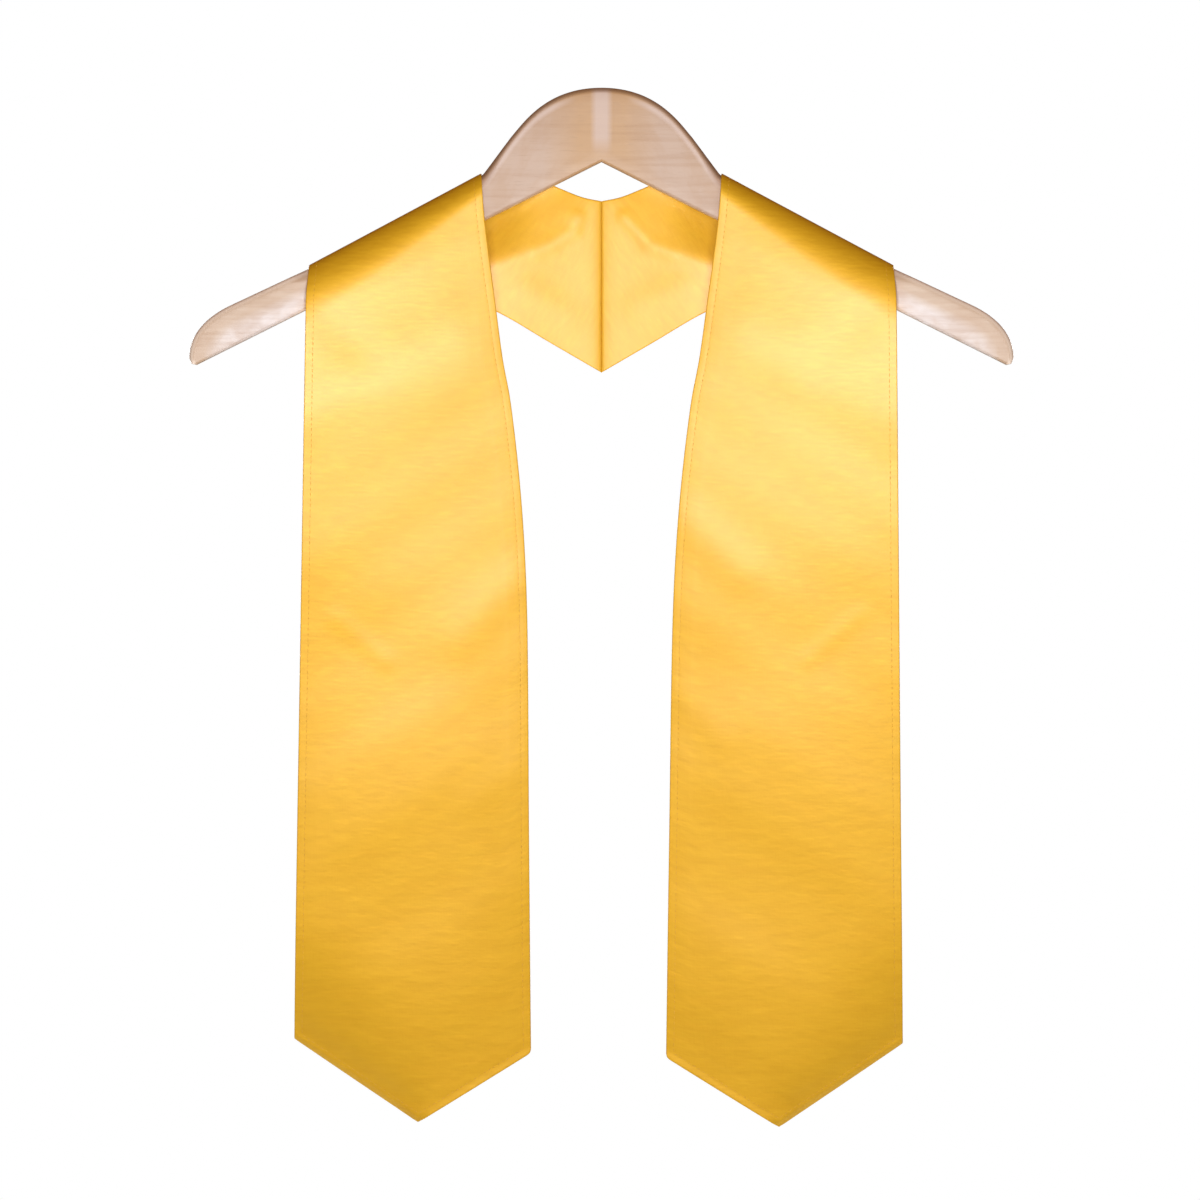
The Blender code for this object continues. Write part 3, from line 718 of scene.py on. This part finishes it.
def hanger_section(height, top_round):
    """A ring of points with rounded corners, each its distance down the section and its depth."""
    top_round = min(top_round, 0.45 * height)
    foot_round = min(HANGER_FOOT_ROUND, 0.45 * height)
    half = HANGER_THICKNESS / 2
    corners = (
        (top_round, -half + top_round, top_round, 180, 10),
        (height - foot_round, -half + foot_round, foot_round, 270, 8),
        (height - foot_round, half - foot_round, foot_round, 0, 8),
        (top_round, half - top_round, top_round, 90, 10),
    )
    ring = []
    for down, depth, radius, start, count in corners:
        for step in range(count):
            angle = math.radians(start + 90 * step / (count - 1))
            ring.append((down + radius * math.cos(angle), depth + radius * math.sin(angle)))
        if start == 180 or start == 0:
            # points down the flat front, and up the flat back
            flat = -half if start == 180 else half
            steps = [mix(top_round, height - foot_round, k / 7) for k in range(1, 7)]
            ring += [(place, flat) for place in (steps if start == 180 else reversed(steps))]
    return ring


def make_hanger():
    arm = hanger_top_line()
    line = [Vector((-p.x, p.y)) for p in reversed(arm[1:])] + arm
    verts, rings, uv = [], [], []
    along = 0.0
    previous = line[0]
    for point in line:
        along += (point - previous).length
        previous = point
        way = -1.0 if point.x < 0 else 1.0
        top = Vector((abs(point.x), point.y))
        foot = underside_point(top)
        down_way = (foot - top).normalized()
        ring = []
        for down, depth in hanger_section((foot - top).length, hanger_top_round(top.x)):
            at = top + down_way * down
            # a very little flatness lost by hand sanding
            sand = HANGER_SANDING * math.sin(60.0 * at.x * way + 90.0 * at.y) * math.sin(41.0 * at.x + 1.0)
            y = float(forward_sweep(at.x)) + depth * (1.0 + sand / HANGER_THICKNESS)
            ring.append(len(verts))
            verts.append((at.x * way, y, at.y))
            uv.append((along, down))
        rings.append(ring)
    faces = []
    for first, second in zip(rings, rings[1:]):
        for k in range(len(first)):
            after = (k + 1) % len(first)
            faces.append((first[k], second[k], second[after], first[after]))
    faces.append(tuple(rings[0]))
    faces.append(tuple(reversed(rings[-1])))
    made = mesh_object("hanger_wood", verts, faces)
    layer = made.data.uv_layers.new(name="grain")
    for loop in made.data.loops:
        layer.data[loop.index].uv = uv[loop.vertex_index]
    turn_faces_outward(made)
    bpy.ops.mesh.primitive_cylinder_add(
        vertices=24,
        radius=HOOK_HOLE_RADIUS,
        depth=HOOK_HOLE_DEPTH + DRILL_ABOVE,
        location=(0.0, 0.0, (DRILL_ABOVE - HOOK_HOLE_DEPTH) / 2),
    )
    drill = bpy.context.object
    hole = made.modifiers.new("hook hole", "BOOLEAN")
    hole.operation = "DIFFERENCE"
    hole.solver = "EXACT"
    hole.object = drill
    bpy.context.view_layer.objects.active = made
    bpy.ops.object.modifier_apply(modifier=hole.name)
    bpy.data.objects.remove(drill, do_unlink=True)
    made.data.set_sharp_from_angle(angle=math.radians(40))
    return made


# Materials


class Nodes:
    """Short ways to add and join shader nodes."""

    def __init__(self, name):
        self.material = bpy.data.materials.new(name)
        self.material.use_nodes = True
        self.tree = self.material.node_tree
        self.shader = self.tree.nodes["Principled BSDF"]

    def add(self, kind, **settings):
        node = self.tree.nodes.new(kind)
        for key, value in settings.items():
            setattr(node, key, value)
        return node

    def join(self, output, target):
        self.tree.links.new(output, target)

    def noise(self, vector, scale, detail=3.0, roughness=0.5):
        node = self.add("ShaderNodeTexNoise")
        node.inputs["Scale"].default_value = scale
        node.inputs["Detail"].default_value = detail
        node.inputs["Roughness"].default_value = roughness
        self.join(vector, node.inputs["Vector"])
        return node.outputs["Fac"]

    def stretch(self, vector, scale):
        node = self.add("ShaderNodeMapping")
        node.inputs["Scale"].default_value = scale
        self.join(vector, node.inputs["Vector"])
        return node.outputs["Vector"]

    def span(self, value, low, high, to_low, to_high):
        node = self.add("ShaderNodeMapRange")
        node.inputs["From Min"].default_value = low
        node.inputs["From Max"].default_value = high
        node.inputs["To Min"].default_value = to_low
        node.inputs["To Max"].default_value = to_high
        self.join(value, node.inputs["Value"])
        return node.outputs["Result"]

    def math(self, operation, a, b):
        node = self.add("ShaderNodeMath", operation=operation)
        for value, socket in ((a, node.inputs[0]), (b, node.inputs[1])):
            if isinstance(value, (int, float)):
                socket.default_value = value
            else:
                self.join(value, socket)
        return node.outputs["Value"]

    def mix_colour(self, factor, a, b):
        node = self.add("ShaderNodeMix", data_type="RGBA")
        for value, socket in ((factor, node.inputs[0]), (a, node.inputs[6]), (b, node.inputs[7])):
            if isinstance(value, (int, float)):
                socket.default_value = value
            elif isinstance(value, tuple):
                socket.default_value = (*value, 1.0)
            else:
                self.join(value, socket)
        return node.outputs[2]

    def bump(self, height, strength, distance, normal=None):
        node = self.add("ShaderNodeBump")
        node.inputs["Strength"].default_value = strength
        node.inputs["Distance"].default_value = distance
        self.join(height, node.inputs["Height"])
        if normal is not None:
            self.join(normal, node.inputs["Normal"])
        return node.outputs["Normal"]


def satin(name, light, deep):
    n = Nodes(name)
    uv = n.add("ShaderNodeUVMap", uv_map="cut").outputs["UV"]
    # slubs run across the panel; they are much longer than they are high
    slub = n.noise(n.stretch(uv, (110.0, 800.0, 1.0)), 1.0, 2.0, 0.55)
    long_slub = n.noise(n.stretch(uv, (45.0, 330.0, 1.0)), 1.0, 2.0, 0.5)
    warp = n.noise(n.stretch(uv, (900.0, 90.0, 1.0)), 1.0, 1.0, 0.5)
    cloud = n.noise(n.stretch(uv, (40.0, 55.0, 1.0)), 1.0, 3.0, 0.5)
    tone = n.math("ADD", n.math("MULTIPLY", slub, 0.40), n.math("MULTIPLY", long_slub, 0.30))
    tone = n.math("ADD", tone, n.math("MULTIPLY", cloud, 0.30))
    colour = n.mix_colour(n.span(tone, 0.42, 0.58, 0.0, 1.0), deep, light)
    n.join(colour, n.shader.inputs["Base Color"])
    n.join(n.span(slub, 0.3, 0.7, 0.51, 0.61), n.shader.inputs["Roughness"])
    weave = n.add("ShaderNodeTexWave", wave_type="BANDS", bands_direction="DIAGONAL")
    weave.inputs["Scale"].default_value = 640.0
    weave.inputs["Distortion"].default_value = 0.6
    n.join(uv, weave.inputs["Vector"])
    # the cloth doesn't lie quite smooth between its threads
    rumple = n.noise(n.stretch(uv, (70.0, 150.0, 1.0)), 1.0, 2.0, 0.5)
    normal = n.bump(rumple, 0.52, 0.00050)
    normal = n.bump(slub, 0.22, 0.00016, normal)
    normal = n.bump(warp, 0.35, 0.00008, normal)
    normal = n.bump(weave.outputs["Fac"], 0.10, 0.00004, normal)
    n.join(normal, n.shader.inputs["Normal"])
    # most of satin's light comes off the long floating threads, in the thread's own colour
    n.shader.inputs["Metallic"].default_value = 0.42
    n.shader.inputs["Coat Weight"].default_value = 0.72
    n.shader.inputs["Coat Roughness"].default_value = 0.28
    n.shader.inputs["Specular IOR Level"].default_value = 0.3
    return n.material


def thread(name):
    n = Nodes(name)
    place = n.add("ShaderNodeTexCoord").outputs["Object"]
    twist = n.noise(n.stretch(place, (900.0, 900.0, 900.0)), 1.0, 1.0)
    n.join(n.mix_colour(twist, (0.80, 0.42, 0.03), (0.92, 0.54, 0.06)), n.shader.inputs["Base Color"])
    n.join(n.span(twist, 0.3, 0.7, 0.35, 0.5), n.shader.inputs["Roughness"])
    n.join(n.bump(twist, 0.3, 0.00005), n.shader.inputs["Normal"])
    return n.material


def lacquered_beech():
    n = Nodes("lacquered_beech")
    uv = n.add("ShaderNodeUVMap", uv_map="grain").outputs["UV"]
    place = n.add("ShaderNodeTexCoord").outputs["Object"]
    split = n.add("ShaderNodeSeparateXYZ")
    n.join(place, split.inputs["Vector"])
    # distance from the middle of the hanger, and distance below its top line
    out = n.math("ABSOLUTE", split.outputs["X"], 0.0)
    sections = n.add("ShaderNodeSeparateXYZ")
    n.join(uv, sections.inputs["Vector"])
    below_edge = sections.outputs["Y"]
    blotch = n.noise(n.stretch(uv, (38.0, 55.0, 1.0)), 1.0, 3.0, 0.55)
    # the board's grain runs straight from arm to arm, whatever its outline does
    grain = n.noise(n.stretch(place, (16.0, 160.0, 420.0)), 1.0, 4.0, 0.6)
    fleck = n.noise(n.stretch(place, (120.0, 600.0, 1500.0)), 1.0, 2.0, 0.5)
    on_arm = n.span(out, 0.120, 0.165, 0.0, 1.0)
    on_flank = n.math("MULTIPLY", n.span(out, 0.014, 0.026, 0.0, 1.0), n.span(out, 0.060, 0.068, 1.0, 0.0))
    # tan about the middle of the hump, pinker on its flanks, and paler on the arms, painted lighter where
    # they face the light; low down on the arms a near-white painted sheen
    colour = n.mix_colour(n.span(out, 0.012, 0.032, 0.0, 1.0), (0.650, 0.398, 0.196), (0.630, 0.448, 0.335))
    colour = n.mix_colour(on_arm, colour, (0.690, 0.515, 0.375))
    # painted sheen: a near-white glare low on the front of the arms, fading towards their tips
    low = n.span(below_edge, 0.0078, 0.0134, 0.0, 1.0)
    low = n.math("MULTIPLY", n.span(out, 0.185, 0.215, 0.85, 0.40), low)
    colour = n.mix_colour(n.math("MULTIPLY", on_arm, low), colour, (0.950, 0.905, 0.930))
    colour = n.mix_colour(n.span(blotch, 0.40, 0.58, 0.40, 0.0), colour, (0.560, 0.340, 0.190))
    colour = n.mix_colour(n.span(grain, 0.45, 0.75, 0.0, 0.30), colour, (0.50, 0.29, 0.16))
    colour = n.mix_colour(n.span(fleck, 0.60, 0.78, 0.0, 0.25), colour, (0.40, 0.23, 0.13))
    # painted highlight: a pale band down the middle of the hump, where the bend between the arms catches the
    # light
    across = n.span(out, 0.0028, 0.0062, 1.0, 0.0)
    band = n.math("MULTIPLY", across, n.span(split.outputs["Z"], -0.0370, -0.0270, 0.0, 1.0))
    colour = n.mix_colour(n.math("MULTIPLY", band, 0.65), colour, (0.76, 0.62, 0.58))
    # painted highlights on the rounded top edges: a pale line on the flanks, and right over the top on the
    # arms
    painted_flank_highlight = n.span(below_edge, 0.0050, 0.0072, 1.0, 0.0)
    painted_flank_highlight = n.math("MULTIPLY", n.span(below_edge, 0.0028, 0.0042, 0.0, 1.0), painted_flank_highlight)
    painted_flank_highlight = n.math("MULTIPLY", painted_flank_highlight, on_flank)
    colour = n.mix_colour(n.math("MULTIPLY", painted_flank_highlight, 0.60), colour, (0.84, 0.68, 0.62))
    # painted shade: a darker line round the hump's rounded top edge, which turns up away from the light
    painted_edge_shade = n.span(out, 0.120, 0.165, 1.0, 0.0)
    painted_edge_shade = n.math("MULTIPLY", n.span(below_edge, 0.0015, 0.0030, 0.72, 0.0), painted_edge_shade)
    colour = n.mix_colour(painted_edge_shade, colour, (0.30, 0.17, 0.09))
    # painted highlight right over the rounded top of the arms
    painted_arm_top_highlight = n.math("MULTIPLY", n.span(below_edge, 0.0014, 0.0034, 0.90, 0.0), on_arm)
    colour = n.mix_colour(painted_arm_top_highlight, colour, (1.0, 0.84, 0.70))
    n.join(colour, n.shader.inputs["Base Color"])
    n.join(n.span(grain, 0.3, 0.7, 0.34, 0.44), n.shader.inputs["Roughness"])
    n.join(n.bump(grain, 0.08, 0.0002), n.shader.inputs["Normal"])
    n.shader.inputs["Specular IOR Level"].default_value = 0.35
    n.shader.inputs["Coat Weight"].default_value = 0.15
    n.shader.inputs["Coat Roughness"].default_value = 0.22
    return n.material


def floor_material():
    n = Nodes("pale_floor")
    place = n.add("ShaderNodeTexCoord").outputs["Object"]
    cloud = n.noise(n.stretch(place, (1.5, 1.5, 1.5)), 1.0, 2.0)
    n.join(n.mix_colour(cloud, (0.80, 0.80, 0.79), (0.84, 0.84, 0.83)), n.shader.inputs["Base Color"])
    n.shader.inputs["Roughness"].default_value = 0.7
    n.shader.inputs["Emission Color"].default_value = (0.68, 0.92, 1.0, 1.0)
    n.shader.inputs["Emission Strength"].default_value = 0.27
    return n.material


# The scene


FLOOR_RADIUS, FLOOR_HEIGHT = 2.1, -1.40
# The room's light, by the height of the direction that it comes from: low and high
ROOM_HEIGHTS = (-0.3, 0.6)
ROOM_STRENGTHS = (0.138, 0.172)
ROOM_COLOURS = ((1.0, 0.80, 0.60, 1.0), (1.0, 0.36, 0.13, 1.0))
# The photo's frame as the camera sees it, in metres across, and its middle
FRAME_WIDTH, FRAME_X, FRAME_Z = 0.649, -0.0008, -0.2776
FRAME_Y = -0.014
LENS, SENSOR = 300.0, 36.0


def make_floor():
    bpy.ops.mesh.primitive_circle_add(
        vertices=96, radius=FLOOR_RADIUS, fill_type="NGON", location=(0.0, 0.0, FLOOR_HEIGHT),
    )
    floor = bpy.context.object
    floor.name = "floor"
    floor.data.materials.append(floor_material())


def area_light(name, place, aim, size, power):
    data = bpy.data.lights.new(name, "AREA")
    data.shape = "RECTANGLE"
    data.size, data.size_y = size
    data.energy = power
    light = bpy.data.objects.new(name, data)
    bpy.context.scene.collection.objects.link(light)
    light.location = place
    light.rotation_euler = (Vector(aim) - Vector(place)).to_track_quat("-Z", "Y").to_euler()
    light.visible_camera = False


def make_world():
    """A plain warm room, white where the camera sees it."""
    world = bpy.data.worlds.new("studio")
    bpy.context.scene.world = world
    world.use_nodes = True
    tree = world.node_tree
    tree.nodes.clear()
    out = tree.nodes.new("ShaderNodeOutputWorld")
    seen = tree.nodes.new("ShaderNodeBackground")
    seen.inputs["Color"].default_value = (1.0, 1.0, 1.0, 1.0)
    # the room is a deeper orange overhead, so that cloth that turns up over the arm goes darker and redder
    way = tree.nodes.new("ShaderNodeTexCoord")
    split = tree.nodes.new("ShaderNodeSeparateXYZ")
    tree.links.new(way.outputs["Generated"], split.inputs["Vector"])

    def by_height(low, high):
        node = tree.nodes.new("ShaderNodeMapRange")
        node.inputs["From Min"].default_value, node.inputs["From Max"].default_value = ROOM_HEIGHTS
        node.inputs["To Min"].default_value, node.inputs["To Max"].default_value = low, high
        tree.links.new(split.outputs["Z"], node.inputs["Value"])
        return node.outputs["Result"]

    warm = tree.nodes.new("ShaderNodeMix")
    warm.data_type = "RGBA"
    warm.inputs[6].default_value, warm.inputs[7].default_value = ROOM_COLOURS
    tree.links.new(by_height(0.0, 1.0), warm.inputs[0])
    lit = tree.nodes.new("ShaderNodeBackground")
    tree.links.new(warm.outputs[2], lit.inputs["Color"])
    tree.links.new(by_height(*ROOM_STRENGTHS), lit.inputs["Strength"])
    path = tree.nodes.new("ShaderNodeLightPath")
    both = tree.nodes.new("ShaderNodeMixShader")
    tree.links.new(path.outputs["Is Camera Ray"], both.inputs["Fac"])
    tree.links.new(lit.outputs[0], both.inputs[1])
    tree.links.new(seen.outputs[0], both.inputs[2])
    tree.links.new(both.outputs[0], out.inputs["Surface"])


def make_camera():
    data = bpy.data.cameras.new("camera")
    data.sensor_fit = "HORIZONTAL"
    data.sensor_width = SENSOR
    data.lens = LENS
    camera = bpy.data.objects.new("camera", data)
    bpy.context.scene.collection.objects.link(camera)
    distance = FRAME_WIDTH * LENS / SENSOR
    camera.location = (FRAME_X, FRAME_Y - distance, FRAME_Z)
    camera.rotation_euler = (math.radians(90.0), 0.0, 0.0)
    bpy.context.scene.camera = camera


def main():
    face_material = satin("gold_satin", (0.89, 0.512, 0.015), (0.86, 0.478, 0.012))
    facing_material = satin("gold_satin_facing", (0.90, 0.516, 0.017), (0.87, 0.480, 0.013))
    thread_material = thread("gold_thread")
    for side in SIDES:
        form = panel_form(side)
        for word, outward, material, slot in (
            ("face", 1, face_material, "satin"), ("facing", -1, facing_material, "facing_satin"),
        ):
            cloth = make_layer(side, word, outward, form)
            cloth.data.materials.append(material)
            stitches = make_stitches(side, word, outward)
            stitches.data.materials.append(thread_material)
            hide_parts(f"{side.name}_{word}")
            for piece in (cloth, stitches):
                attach(piece, "root")
    hanger = make_hanger()
    hanger.data.materials.append(lacquered_beech())
    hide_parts("hanger")
    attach(hanger, "root")
    make_floor()
    make_world()
    area_light("key", (0.0, -1.05, -0.125), (0.0, 0.0, -0.16), (0.58, 0.22), 6.6)
    for way in (-1, 1):
        area_light(f"side{way}", (way * 1.3, -1.3, 0.04), (0.0, 0.0, -0.22), (0.7, 0.7), 2.45)
        area_light(f"back{way}", (way * 0.9, 2.0, -0.20), (0.0, 0.0, -0.24), (0.9, 0.9), 16.0)
    area_light("floor_glow", (0.0, 0.0, -0.95), (0.0, 0.0, -2.0), (3.4, 3.4), 8.0)
    make_camera()
    bpy.context.scene.view_settings.view_transform = "Standard"


main()
